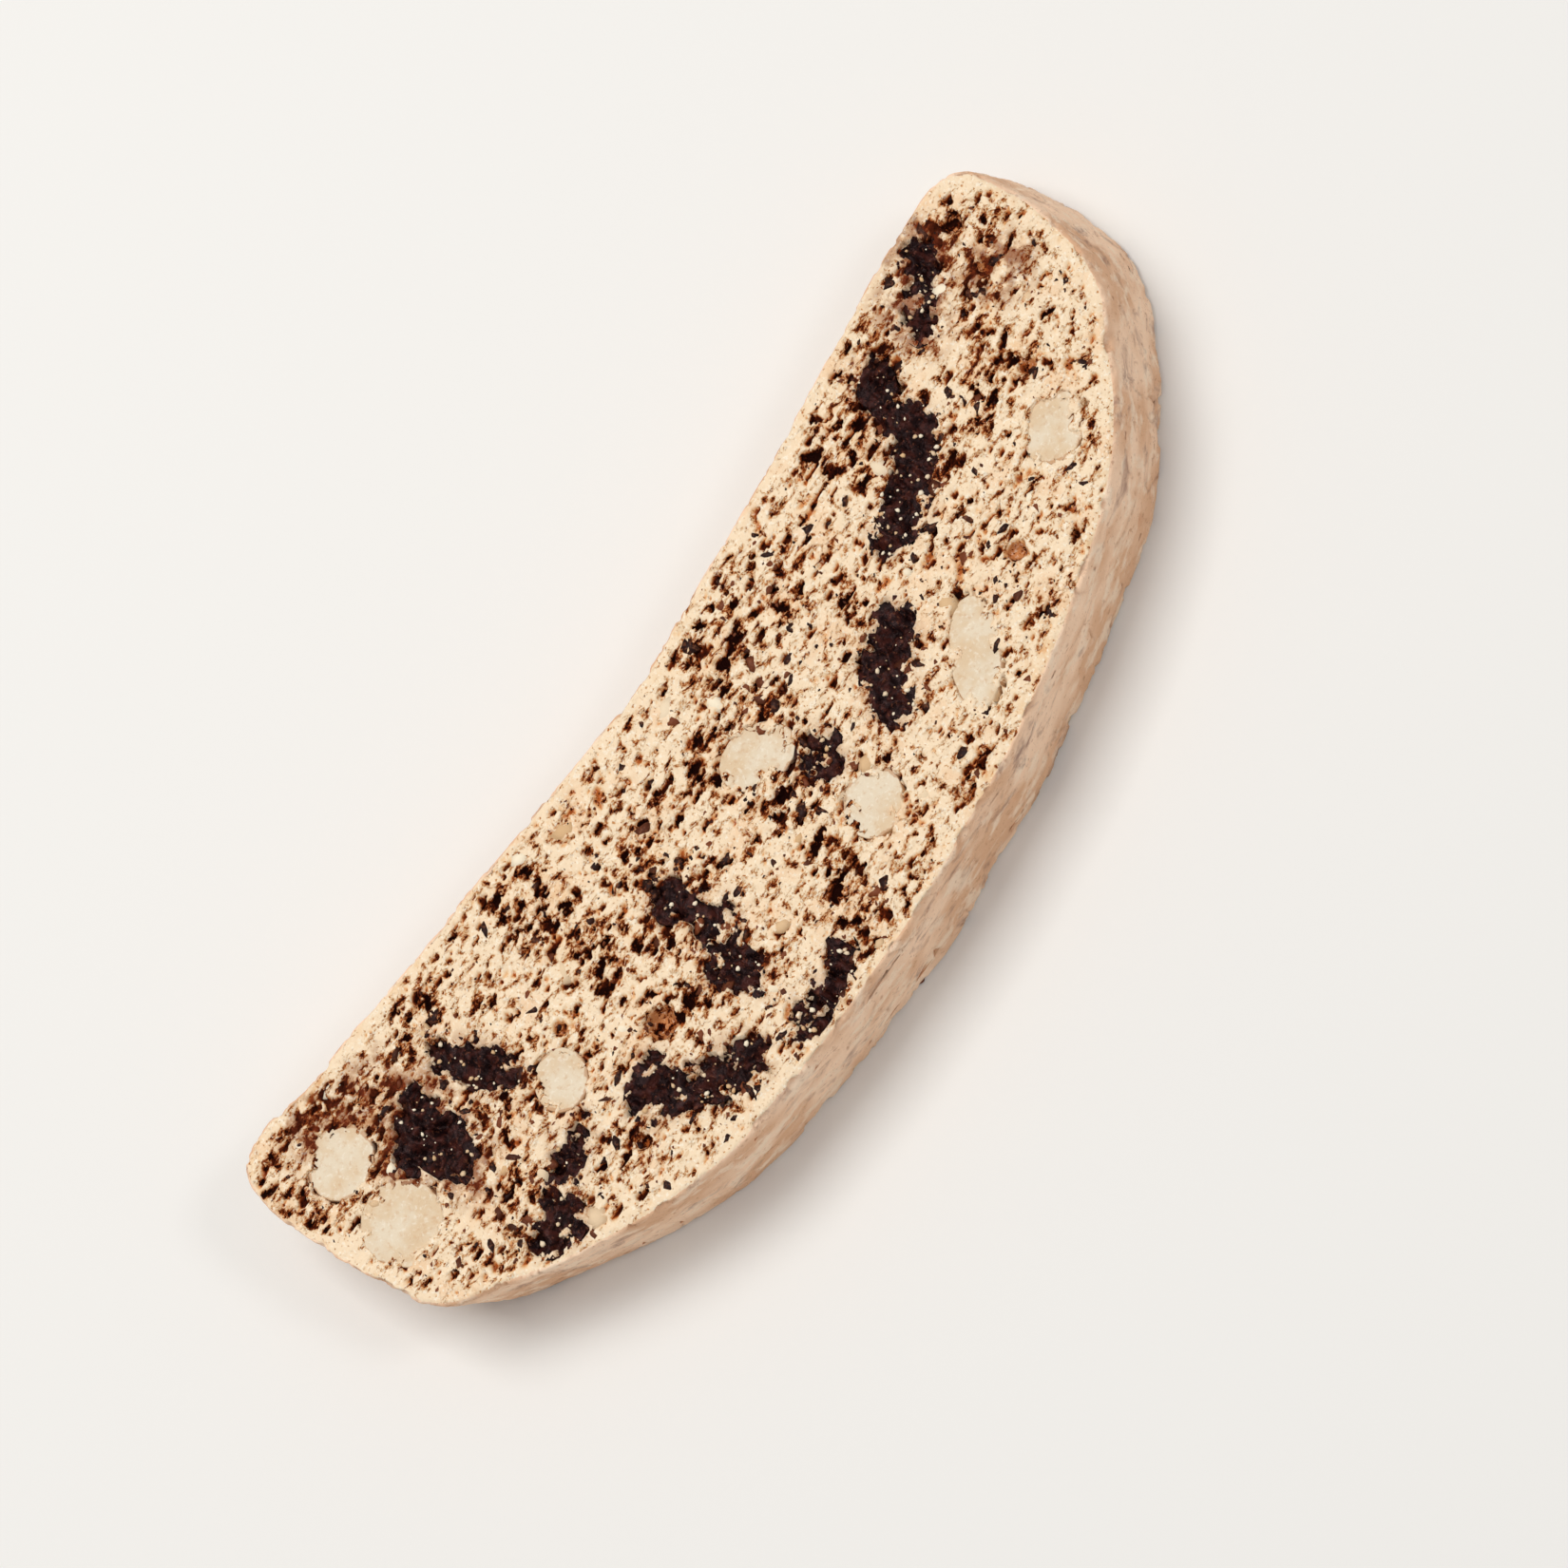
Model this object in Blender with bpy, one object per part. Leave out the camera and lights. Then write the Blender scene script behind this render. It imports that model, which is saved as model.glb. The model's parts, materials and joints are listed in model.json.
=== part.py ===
"""One slice of chocolate and hazelnut biscotti, lying on one of its two cut faces.

The slice is cut across a low loaf, a little on the bias. Seen from above, the loaf's flat base is the
long edge at +Y, its domed crust is the edge at -Y, and the length of the slice runs along X. The chunks
of chocolate and the pieces of hazelnut are separate solids. They sit in pockets in the dough and end
flush with the face where the knife went through them. The slice rests on Z = 0.
"""
import math

import bmesh
import bpy
from mathutils import Matrix, Vector, noise

MM = 0.001

# Driving dimensions, in millimetres
THICKNESS = 11.0        # between the two cut faces
BIAS_SHIFT = 2.5        # how far the lower cut face lies towards +X, from the slanting cut
EDGE_ROUNDING = 0.5     # where the crust meets a cut face
CRUST_LUMP = 0.45       # how far the crust swells and sinks
LUMP_SPACING = 9.0
CRUST_ROWS = 4          # bands of facets up the crust
GAP = 0.3               # all round a piece in its pocket
CLEAR = 1.0             # how far a pocket's cutter reaches past a cut face
FAR_END = 0.78          # size of a chunk's far end against its cut end
NUT_SINK = 0.35         # depth of a nut's middle under the face, as a share of its half height

# The upper cut face, point by point in millimetres: its left end, the domed crust, its right end and base
OUTLINE = [
    (-52.2, 15.6), (-52.4, 8.0), (-51.7, 1.0), (-50.4, -3.6), (-45.0, -7.6), (-37.5, -12.4), (-30.0, -15.6),
    (-20.0, -17.3), (-8.0, -17.8), (4.0, -17.3), (15.0, -15.9), (25.0, -13.6), (34.0, -11.0), (41.0, -7.0),
    (46.0, -2.6), (49.6, 1.6), (51.4, 7.0), (51.8, 13.0), (50.4, 17.4), (44.0, 18.2), (32.0, 16.8),
    (18.0, 15.2), (3.0, 14.1), (-12.0, 14.7), (-27.0, 16.3), (-41.0, 17.3), (-50.4, 17.9),
]

# Chunks of chocolate: name, depth of the chunk, and its outline on the upper cut face
CHOCOLATE = [
    ("chocolate_wedge", THICKNESS, [(-43.6, 7.2), (-42.3, 3.4), (-40.2, 0.4), (-38.4, 3.0), (-36.9, 6.2),
                                    (-37.1, 9.6), (-39.2, 10.2), (-41.2, 8.0)]),
    ("chocolate_bar", 6.5, [(-33.9, 10.8), (-34.2, 5.6), (-32.8, 3.2), (-31.4, 2.2), (-30.8, 4.4),
                            (-31.3, 7.4), (-32.1, 9.8)]),
    ("chocolate_streak", 5.5, [(-42.0, -7.2), (-41.0, -9.0), (-38.4, -9.3), (-36.4, -7.0), (-33.4, -5.8),
                               (-30.7, -4.2), (-32.0, -3.4), (-35.4, -4.0), (-38.6, -5.6)]),
    ("chocolate_hook", THICKNESS, [(-28.2, -7.6), (-27.4, -10.0), (-24.8, -11.2), (-22.4, -13.2),
                                   (-18.8, -14.6), (-17.1, -13.2), (-19.2, -10.8), (-22.3, -9.4),
                                   (-23.0, -6.2), (-25.6, -5.7)]),
    ("chocolate_chain", 6.0, [(-13.9, 1.2), (-13.2, -1.4), (-13.2, -3.4), (-15.0, -5.6), (-15.7, -8.2),
                              (-14.2, -10.3), (-12.2, -9.2), (-12.2, -6.8), (-10.8, -5.0), (-10.2, -2.4),
                              (-11.4, -0.4), (-11.2, 1.4), (-12.4, 2.4)]),
    ("chocolate_by_crust", 5.0, [(-16.2, -15.2), (-14.6, -16.3), (-11.4, -16.4), (-8.6, -15.6), (-6.5, -13.9),
                                 (-7.4, -13.1), (-10.0, -14.1), (-13.2, -14.2)]),
    ("chocolate_speck", 4.5, [(3.0, -2.6), (3.3, -4.2), (4.9, -4.7), (6.3, -3.3), (6.0, -1.5), (4.4, -1.1)]),
    ("chocolate_slab", THICKNESS, [(9.8, -5.2), (10.2, -7.0), (12.5, -6.3), (14.6, -4.6), (17.2, -3.4),
                                   (18.4, -1.2), (17.4, 0.1), (15.2, -0.8), (12.6, -1.6), (10.8, -3.2)]),
    ("chocolate_boot", THICKNESS, [(20.7, 3.0), (22.4, 1.9), (25.6, 1.9), (28.0, 3.4), (31.2, 4.7), (32.9, 6.4),
                                   (32.3, 9.8), (33.8, 12.6), (33.2, 14.2), (31.4, 13.2), (30.2, 9.8),
                                   (28.0, 6.9), (24.6, 5.2)]),
    ("chocolate_by_base", 5.5, [(37.1, 10.9), (39.2, 11.2), (41.6, 13.0), (43.9, 14.6), (44.3, 16.3),
                                (42.6, 16.6), (40.8, 14.8), (38.4, 12.8)]),
]

# Chunks that only the lower cut face shows, written the same way
CHOCOLATE_BELOW = [
    ("chocolate_below_left", 4.0, [(-31.0, 11.4), (-29.6, 9.4), (-25.4, 8.4), (-21.6, 8.8), (-22.0, 10.6),
                                   (-25.2, 11.4), (-28.6, 12.8)]),
    ("chocolate_below_right", 4.0, [(4.6, 10.8), (6.0, 8.4), (9.8, 7.6), (12.6, 9.2), (11.8, 11.4),
                                    (8.2, 12.2)]),
]

# Pieces of hazelnut: name, centre on the face, half sizes along and across, half height, turn in degrees
HAZELNUTS = [
    ("hazelnut_end_small", (-45.8, 11.2), (3.0, 2.6), 4.5, 20),
    ("hazelnut_end_large", (-46.8, 3.6), (3.4, 3.5), 5.2, 0),
    ("hazelnut_left", (-29.6, -0.6), (2.4, 2.0), 3.6, 35),
    ("hazelnut_middle", (1.4, 1.6), (3.3, 2.3), 5.0, -20),
    ("hazelnut_low", (3.8, -9.0), (2.8, 2.2), 4.2, 30),
    ("hazelnut_long", (18.6, -8.8), (5.6, 2.3), 8.5, 42),
    ("hazelnut_right", (37.4, -3.2), (2.9, 2.2), 4.4, 15),
]
HAZELNUTS_BELOW = [
    ("hazelnut_below_left", (-19.0, 2.4), (3.6, 2.8), 4.6, -30),
    ("hazelnut_below_right", (40.6, 5.2), (3.4, 3.0), 4.4, 10),
]


def remove_everything():
    for item in list(bpy.data.objects):
        bpy.data.objects.remove(item, do_unlink=True)


def new_collection(name):
    collection = bpy.data.collections.new(name)
    bpy.context.scene.collection.children.link(collection)
    return collection


def new_material(name, colour, roughness):
    material = bpy.data.materials.new(name)
    material.use_nodes = True
    shader = material.node_tree.nodes["Principled BSDF"]
    shader.inputs["Base Color"].default_value = (*colour, 1.0)
    shader.inputs["Roughness"].default_value = roughness
    shader.inputs["Metallic"].default_value = 0.0
    return material


def flat_solid(name, points, low, high, rounding=0.0, grow=0.0, smoothness=3):
    """A flat closed outline, drawn as a smooth curve and given its height. Grow widens it all round."""
    curve = bpy.data.curves.new(name, "CURVE")
    curve.dimensions = "2D"
    curve.fill_mode = "BOTH"
    curve.resolution_u = smoothness
    curve.extrude = ((high - low) / 2 - rounding) * MM
    curve.bevel_depth = rounding * MM
    curve.bevel_resolution = 1
    curve.offset = (grow - rounding) * MM
    spline = curve.splines.new("BEZIER")
    spline.bezier_points.add(len(points) - 1)
    for knot, (x, y) in zip(spline.bezier_points, points):
        knot.co = (x * MM, y * MM, 0.0)
        knot.handle_left_type = "AUTO"
        knot.handle_right_type = "AUTO"
    spline.use_cyclic_u = True
    drawn = bpy.data.objects.new(name + "_outline", curve)
    drawn.location.z = (low + high) / 2 * MM
    bpy.context.scene.collection.objects.link(drawn)
    bpy.context.view_layer.update()
    evaluated = drawn.evaluated_get(bpy.context.evaluated_depsgraph_get())
    mesh = bpy.data.meshes.new_from_object(evaluated)
    mesh.transform(drawn.matrix_world)
    bpy.data.objects.remove(drawn, do_unlink=True)
    weld(mesh)
    return mesh


def weld(mesh):
    """Join the loose caps of a solid to its walls."""
    work = bmesh.new()
    work.from_mesh(mesh)
    bmesh.ops.remove_doubles(work, verts=work.verts, dist=0.005 * MM)
    bmesh.ops.recalc_face_normals(work, faces=work.faces)
    work.to_mesh(mesh)
    work.free()


def add_object(name, mesh, collection, material):
    mesh.name = name
    mesh.materials.clear()
    mesh.materials.append(material)
    item = bpy.data.objects.new(name, mesh)
    collection.objects.link(item)
    return item


def add_cutter(name, mesh, cutters):
    item = bpy.data.objects.new(name + "_pocket", mesh)
    item.hide_render = True
    item.display_type = "WIRE"
    cutters.objects.link(item)


def shape_crust(mesh):
    """Lean the slice along the bias of its cut, and let its crust swell and sink a little."""
    work = bmesh.new()
    work.from_mesh(mesh)
    for row in range(1, CRUST_ROWS):
        height = THICKNESS * row / CRUST_ROWS * MM
        everything = work.verts[:] + work.edges[:] + work.faces[:]
        bmesh.ops.bisect_plane(work, geom=everything, plane_co=(0, 0, height), plane_no=(0, 0, 1))
    work.normal_update()
    moved = []
    for vertex in work.verts:
        outward = Vector((vertex.normal.x, vertex.normal.y, 0.0)).normalized()
        swell = noise.noise(vertex.co / (LUMP_SPACING * MM)) * CRUST_LUMP
        lean = (1.0 - vertex.co.z / (THICKNESS * MM)) * BIAS_SHIFT
        moved.append(vertex.co + outward * swell * MM + Vector((lean * MM, 0.0, 0.0)))
    for vertex, place in zip(work.verts, moved):
        vertex.co = place
    work.to_mesh(mesh)
    work.free()


def taper(mesh, points, cut_height):
    """Draw a chunk in towards its far end, as a broken lump of chocolate narrows."""
    middle = sum((Vector(point) for point in points), Vector((0.0, 0.0))) / len(points) * MM
    for vertex in mesh.vertices:
        away = min(abs(vertex.co.z - cut_height * MM) / (THICKNESS * MM), 1.0)
        size = 1.0 - (1.0 - FAR_END) * away
        vertex.co.xy = middle + (vertex.co.xy - middle) * size


def chocolate_chunk(name, depth, points, from_below, collection, cutters, material):
    """A chunk flush with a cut face, and its pocket. A chunk as deep as the slice shows on both faces."""
    through = depth >= THICKNESS
    low, high = (0.0, depth) if from_below else (THICKNESS - depth, THICKNESS)
    low_pocket = low - CLEAR if from_below or through else low - GAP
    high_pocket = high + GAP if from_below else high + CLEAR
    cut_height = 0.0 if from_below else THICKNESS
    chunk = flat_solid(name, points, low, high)
    pocket = flat_solid(name, points, low_pocket, high_pocket, grow=GAP)
    taper(chunk, points, cut_height)
    taper(pocket, points, cut_height)
    add_object(name, chunk, collection, material)
    add_cutter(name, pocket, cutters)


def nut_solid(centre, half_size, half_height, turn, middle_height, grow=0.0):
    """An egg-shaped piece of nut, still whole."""
    x, y = centre
    work = bmesh.new()
    bmesh.ops.create_uvsphere(work, u_segments=16, v_segments=10, radius=MM)
    stretch = Matrix.Diagonal((half_size[0] + grow, half_size[1] + grow, half_height + grow, 1.0))
    turned = Matrix.Rotation(math.radians(turn), 4, "Z")
    place = Matrix.Translation((x * MM, y * MM, middle_height * MM))
    bmesh.ops.transform(work, matrix=place @ turned @ stretch, verts=work.verts)
    return work


def slice_off(work, height, keep_below):
    """Cut a solid with a level plane, throw one side away and close the cut."""
    everything = work.verts[:] + work.edges[:] + work.faces[:]
    bmesh.ops.bisect_plane(work, geom=everything, plane_co=(0, 0, height * MM), plane_no=(0, 0, 1),
                           clear_outer=keep_below, clear_inner=not keep_below)
    rim = [edge for edge in work.edges if edge.is_boundary]
    if rim:
        bmesh.ops.contextual_create(work, geom=rim)
    bmesh.ops.recalc_face_normals(work, faces=work.faces)


def to_mesh(work, name):
    mesh = bpy.data.meshes.new(name)
    work.to_mesh(mesh)
    work.free()
    return mesh


def hazelnut_piece(name, centre, half_size, half_height, turn, from_below, collection, cutters, material):
    """A piece of nut cut off level with the face, and its pocket. A tall piece shows on both faces."""
    through = half_height > THICKNESS / 2
    if through:
        middle_height = THICKNESS / 2
    else:
        sink = half_height * NUT_SINK
        middle_height = sink if from_below else THICKNESS - sink
    nut = nut_solid(centre, half_size, half_height, turn, middle_height)
    slice_off(nut, THICKNESS, keep_below=True)
    slice_off(nut, 0.0, keep_below=False)
    pocket = nut_solid(centre, half_size, half_height, turn, middle_height, grow=GAP)
    add_object(name, to_mesh(nut, name), collection, material)
    add_cutter(name, to_mesh(pocket, name), cutters)


def dough_slice(collection, cutters, material):
    """The slice of dough, with a pocket for every piece that is set in it."""
    mesh = flat_solid("dough_slice", OUTLINE, 0.0, THICKNESS, rounding=EDGE_ROUNDING, smoothness=5)
    shape_crust(mesh)
    dough = add_object("dough_slice", mesh, collection, material)
    pockets = dough.modifiers.new("pockets", "BOOLEAN")
    pockets.operation = "DIFFERENCE"
    pockets.solver = "EXACT"
    pockets.operand_type = "COLLECTION"
    pockets.collection = cutters
    return dough


def centre_on_origin(dough, collections):
    """Move every solid so that the origin is under the middle of the slice's box."""
    places = [vertex.co for vertex in dough.data.vertices]
    middle = Vector((0.0, 0.0, 0.0))
    for axis in (0, 1):
        middle[axis] = (min(place[axis] for place in places) + max(place[axis] for place in places)) / 2
    for collection in collections:
        for item in collection.objects:
            item.data.transform(Matrix.Translation(-middle))


def main():
    remove_everything()
    biscotto = new_collection("biscotto")
    cutters = new_collection("pocket_cutters")
    baked_dough = new_material("baked_dough", (0.72, 0.55, 0.38), 0.85)
    chocolate = new_material("chocolate", (0.035, 0.014, 0.012), 0.35)
    hazelnut = new_material("hazelnut", (0.82, 0.70, 0.48), 0.55)
    for below, chunks in ((False, CHOCOLATE), (True, CHOCOLATE_BELOW)):
        for name, depth, points in chunks:
            chocolate_chunk(name, depth, points, below, biscotto, cutters, chocolate)
    for below, nuts in ((False, HAZELNUTS), (True, HAZELNUTS_BELOW)):
        for name, centre, half_size, half_height, turn in nuts:
            hazelnut_piece(name, centre, half_size, half_height, turn, below, biscotto, cutters, hazelnut)
    dough = dough_slice(biscotto, cutters, baked_dough)
    centre_on_origin(dough, (biscotto, cutters))


main()
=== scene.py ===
# %% [markdown]
# # A slice of chocolate and hazelnut biscotti
#
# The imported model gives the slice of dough, with a smooth solid for each chunk of chocolate and each
# piece of nut set in it. This lesson turns them into food: torn, porous crumb on the two cut faces,
# a floury crust round the edge, broken chocolate and waxy nut.
#
# All sizes below are in millimetres and are multiplied by `MM` where they meet Blender, which works
# in metres here. Blender's `noise_vector` starts from the clock unless it is given a seed, so the
# seed is set first, and the slice comes out the same each time.

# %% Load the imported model
import json
import math
import random

import bpy
import numpy as np
from mathutils import Matrix, Vector, noise
from mathutils.bvhtree import BVHTree
from mathutils.kdtree import KDTree


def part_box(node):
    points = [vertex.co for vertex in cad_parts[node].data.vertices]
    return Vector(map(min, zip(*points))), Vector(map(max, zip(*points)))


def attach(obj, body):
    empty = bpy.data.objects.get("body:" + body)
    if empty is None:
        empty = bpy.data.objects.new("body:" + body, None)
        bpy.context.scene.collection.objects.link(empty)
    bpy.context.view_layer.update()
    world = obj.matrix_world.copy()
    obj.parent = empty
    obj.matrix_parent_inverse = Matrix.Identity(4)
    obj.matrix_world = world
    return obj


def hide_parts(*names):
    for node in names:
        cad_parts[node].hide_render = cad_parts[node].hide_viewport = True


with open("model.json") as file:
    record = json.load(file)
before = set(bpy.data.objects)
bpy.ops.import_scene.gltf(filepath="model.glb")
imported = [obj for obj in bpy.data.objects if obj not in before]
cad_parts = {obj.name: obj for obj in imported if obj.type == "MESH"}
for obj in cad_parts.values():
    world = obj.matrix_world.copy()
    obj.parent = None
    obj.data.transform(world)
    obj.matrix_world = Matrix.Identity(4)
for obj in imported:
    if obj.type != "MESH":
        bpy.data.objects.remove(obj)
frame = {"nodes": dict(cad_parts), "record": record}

MM = 0.001
noise.seed_set(1)
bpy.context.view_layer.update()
slice_low, slice_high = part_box("dough_slice")
THICKNESS = slice_high.z / MM
print("the slice measures", [round(side / MM, 1) for side in slice_high - slice_low], "mm")

# %% [markdown]
# ## Which solids are chocolate and which are nut
#
# The record says which finish each solid takes. Reading the names from there keeps this file right
# if a chunk is added to the model.

# %% Sort the solids by finish
nodes_by_slot = {}
for part in frame["record"]["subparts"]:
    nodes_by_slot.setdefault(part["material_slot"], []).append(part["node"])
CHOCOLATE_NODES = nodes_by_slot["chocolate"]
NUT_NODES = nodes_by_slot["hazelnut"]
print(len(CHOCOLATE_NODES), "chunks of chocolate,", len(NUT_NODES), "pieces of nut")

# %% [markdown]
# ## Camera, floor and light
#
# The slice is seen nearly from above, with its length running from the lower left to the upper right
# and its domed crust turned a little towards the eye. A camera looks along its own -Z axis with +Y up,
# so its turn is built from directions that are easy to name: towards the eye, rightwards in its view,
# and upwards in its view. That is simpler than guessing three angles.

# %% Place the camera
LEAN = math.radians(21)          # how far the eye leans from straight above, towards the domed crust
ROLL = math.radians(55)          # how far the slice's length is turned up from level
DISTANCE = 620                   # millimetres from the slice
LENS = 172                       # a long lens, so that the slice isn't bent by perspective
LAMP_DISTANCE = 800

towards_eye = Vector((0.0, -math.sin(LEAN), math.cos(LEAN)))
along_slice = Vector((1.0, 0.0, 0.0))
across_slice = towards_eye.cross(along_slice)
rightwards = along_slice * math.cos(ROLL) - across_slice * math.sin(ROLL)
upwards = along_slice * math.sin(ROLL) + across_slice * math.cos(ROLL)
camera_data = bpy.data.cameras.new("camera")
camera_data.lens = LENS
camera = bpy.data.objects.new("camera", camera_data)
bpy.context.scene.collection.objects.link(camera)
camera.matrix_world = Matrix((rightwards, upwards, towards_eye)).transposed().to_4x4()
look_at = Vector((0.0, 0.0, THICKNESS / 2 * MM))
camera.location = look_at + towards_eye * DISTANCE * MM
bpy.context.scene.camera = camera
print("the camera stands at", [round(value, 3) for value in camera.location])

# %% [markdown]
# The light is a wide window high on the left, with a pale sky all round to fill the shadows. A smaller
# lamp opposite puts the small glints on the chocolate.

# %% Light the slice
def soft_lamp(name, way_round, height, size, watts, tint):
    """A square lamp that faces the slice. It stands way_round from rightwards, and height above that."""
    across = rightwards * math.cos(way_round) + upwards * math.sin(way_round)
    direction = (across * math.cos(height) + towards_eye * math.sin(height)).normalized()
    data = bpy.data.lights.new(name, "AREA")
    data.shape = "SQUARE"
    data.size = size * MM
    data.energy = watts
    data.color = tint
    lamp = bpy.data.objects.new(name, data)
    bpy.context.scene.collection.objects.link(lamp)
    lamp.location = look_at + direction * LAMP_DISTANCE * MM
    lamp.rotation_euler = direction.to_track_quat("Z", "Y").to_euler()


soft_lamp("window", math.radians(150), math.radians(50), 400, 3.9, (1.0, 0.985, 0.96))
soft_lamp("glint", math.radians(40), math.radians(62), 160, 0.7, (1.0, 1.0, 1.0))

world = bpy.data.worlds.new("pale_room")
world.use_nodes = True
world.node_tree.nodes["Background"].inputs["Color"].default_value = (1.0, 0.99, 0.975, 1.0)
world.node_tree.nodes["Background"].inputs["Strength"].default_value = 0.45
bpy.context.scene.world = world
bpy.context.scene.view_settings.view_transform = "Standard"

# %% Lay the floor
FLOOR_SIZE = 4000
FLOOR_GAP = 0.1                  # just clear of the slice, so that the two faces don't flicker
bpy.ops.mesh.primitive_plane_add(size=FLOOR_SIZE * MM, location=(0, 0, -FLOOR_GAP * MM))
floor = bpy.context.object
floor.name = "floor"
floor_finish = bpy.data.materials.new("floor_finish")
floor_finish.use_nodes = True
floor_shader = floor_finish.node_tree.nodes["Principled BSDF"]
floor_shader.inputs["Base Color"].default_value = (0.83, 0.82, 0.80, 1.0)
floor_shader.inputs["Roughness"].default_value = 0.8
floor.data.materials.append(floor_finish)
print("the floor is", FLOOR_SIZE / 1000, "m across")

# %% [markdown]
# ## Working as by hand
#
# Operators act on whatever is selected, and loading the model leaves all of it selected. These small
# helpers pick out one object, or some of its faces, before each operator.

# %% Helpers for selecting
SAME_PLACE = 0.002               # points closer than this are one point


def pick(item):
    """Make one object the only selected one."""
    if bpy.context.object and bpy.context.object.mode != "OBJECT":
        bpy.ops.object.mode_set(mode="OBJECT")
    bpy.ops.object.select_all(action="DESELECT")
    item.select_set(True)
    bpy.context.view_layer.objects.active = item
    return item


def pick_faces(item, wanted):
    """Enter edit mode with only the faces selected for which wanted(face) is true."""
    pick(item)
    bpy.ops.object.mode_set(mode="EDIT")
    bpy.ops.mesh.select_mode(type="FACE")
    bpy.ops.mesh.select_all(action="DESELECT")
    bpy.ops.object.mode_set(mode="OBJECT")
    for face in item.data.polygons:
        face.select = wanted(face)
    bpy.ops.object.mode_set(mode="EDIT")


def copy_of_solid(node, name):
    """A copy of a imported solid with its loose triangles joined, ready to be worked on."""
    piece = bpy.data.objects.new(name, frame["nodes"][node].data.copy())
    bpy.context.scene.collection.objects.link(piece)
    pick(piece)
    piece.data.materials.clear()
    bpy.ops.mesh.customdata_custom_splitnormals_clear()
    bpy.ops.object.mode_set(mode="EDIT")
    bpy.ops.mesh.select_all(action="SELECT")
    bpy.ops.mesh.remove_doubles(threshold=SAME_PLACE * MM)
    bpy.ops.object.mode_set(mode="OBJECT")
    return piece


def apply_remesh(piece, voxel):
    """Replace the faces by small even squares, which is what relief needs."""
    pick(piece)
    remesh = piece.modifiers.new("even_squares", "REMESH")
    remesh.mode = "VOXEL"
    remesh.voxel_size = voxel * MM
    bpy.ops.object.modifier_apply(modifier=remesh.name)
    print(piece.name, "has", len(piece.data.polygons), "faces")


def places_of(piece):
    """The piece's points in millimetres, as a table with one row for each."""
    table = np.empty(len(piece.data.vertices) * 3)
    piece.data.vertices.foreach_get("co", table)
    return table.reshape(-1, 3) / MM


def normals_of(piece):
    table = np.empty(len(piece.data.vertices) * 3)
    piece.data.vertex_normals.foreach_get("vector", table)
    return table.reshape(-1, 3)


def put_places(piece, table):
    piece.data.vertices.foreach_set("co", (table * MM).ravel())
    piece.data.update()


def store(piece, name, values):
    """Keep a number for each point, for the finish to read."""
    attribute = piece.data.attributes.new(name, "FLOAT", "POINT")
    attribute.data.foreach_set("value", np.asarray(values, np.float32))

# %% [markdown]
# ## The plain slice
#
# The dough solid has a pocket for every chunk. The real dough is baked tight against them, so the
# pockets are closed first. They could be filled one by one, but there is a shorter way: without its
# two flat faces the solid falls into separate walls, and the wall round the outside, which is the
# longest, is the one that is kept. Two new flat faces close it again. A voxel remesh then gives it
# small even squares all over, fine enough to carry pores.

# %% Close the pockets
def plain_slice():
    piece = copy_of_solid("dough_slice", "dough")
    edge = 0.01 * MM

    def is_flat(face):
        height = face.center.z
        return abs(face.normal.z) > 0.99 and (height < edge or height > slice_high.z - edge)

    pick_faces(piece, is_flat)
    bpy.ops.mesh.delete(type="FACE")
    bpy.ops.mesh.select_all(action="SELECT")
    bpy.ops.mesh.separate(type="LOOSE")
    bpy.ops.object.mode_set(mode="OBJECT")
    walls = list(bpy.context.selected_objects)
    walls.sort(key=lambda wall: wall.dimensions.x)
    outer = walls.pop()
    for wall in walls:
        bpy.data.objects.remove(wall)
    outer.name = "dough"
    pick(outer)
    bpy.ops.object.mode_set(mode="EDIT")
    bpy.ops.mesh.select_all(action="SELECT")
    bpy.ops.mesh.fill_holes(sides=0)
    bpy.ops.mesh.normals_make_consistent(inside=False)
    bpy.ops.object.mode_set(mode="OBJECT")
    print("kept the outer wall and dropped", len(walls), "pockets")
    return outer


dough = plain_slice()
VOXEL = 0.20
apply_remesh(dough, VOXEL)

# %% [markdown]
# ## How far from chocolate and nut
#
# The dough dips where a chunk or a nut shows, and is stained beside melted chocolate. For that, each
# point of the dough needs to know how far it is from them. The distance is measured to the packed
# solids, and is negative inside one. The places are first pushed about a little, because broken
# chocolate has no smooth edge: a smooth solid then shows a ragged outline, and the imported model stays
# simple.

# %% Measure distances to the solids
def wander(places, spacing, reach, seed):
    """Push points about sideways, so that a smooth outline turns ragged."""
    out = places.copy()
    shift = Vector((seed, -seed, seed * 0.5))
    for index, place in enumerate(places):
        push = noise.noise_vector(Vector(place) / spacing + shift)
        out[index, 0] += push.x * reach
        out[index, 1] += push.y * reach
    return out


def distance_to(nodes, places, reach):
    """How far each place is from the nearest of the solids, up to reach, and negative inside one."""
    nearest = np.full(len(places), float(reach))
    for node in nodes:
        low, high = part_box(node)
        inside_box = np.ones(len(places), bool)
        for axis in range(3):
            inside_box &= places[:, axis] > low[axis] / MM - reach
            inside_box &= places[:, axis] < high[axis] / MM + reach
        solid = copy_of_solid(node, "measured")
        tree = BVHTree.FromObject(solid, bpy.context.evaluated_depsgraph_get())
        for index in np.nonzero(inside_box)[0]:
            spot, normal, _, away = tree.find_nearest(Vector(places[index]) * MM)
            inside = (Vector(places[index]) * MM - spot).dot(normal) < 0
            measured = -away / MM if inside else away / MM
            nearest[index] = min(nearest[index], measured)
        bpy.data.objects.remove(solid)
    return nearest

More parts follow.
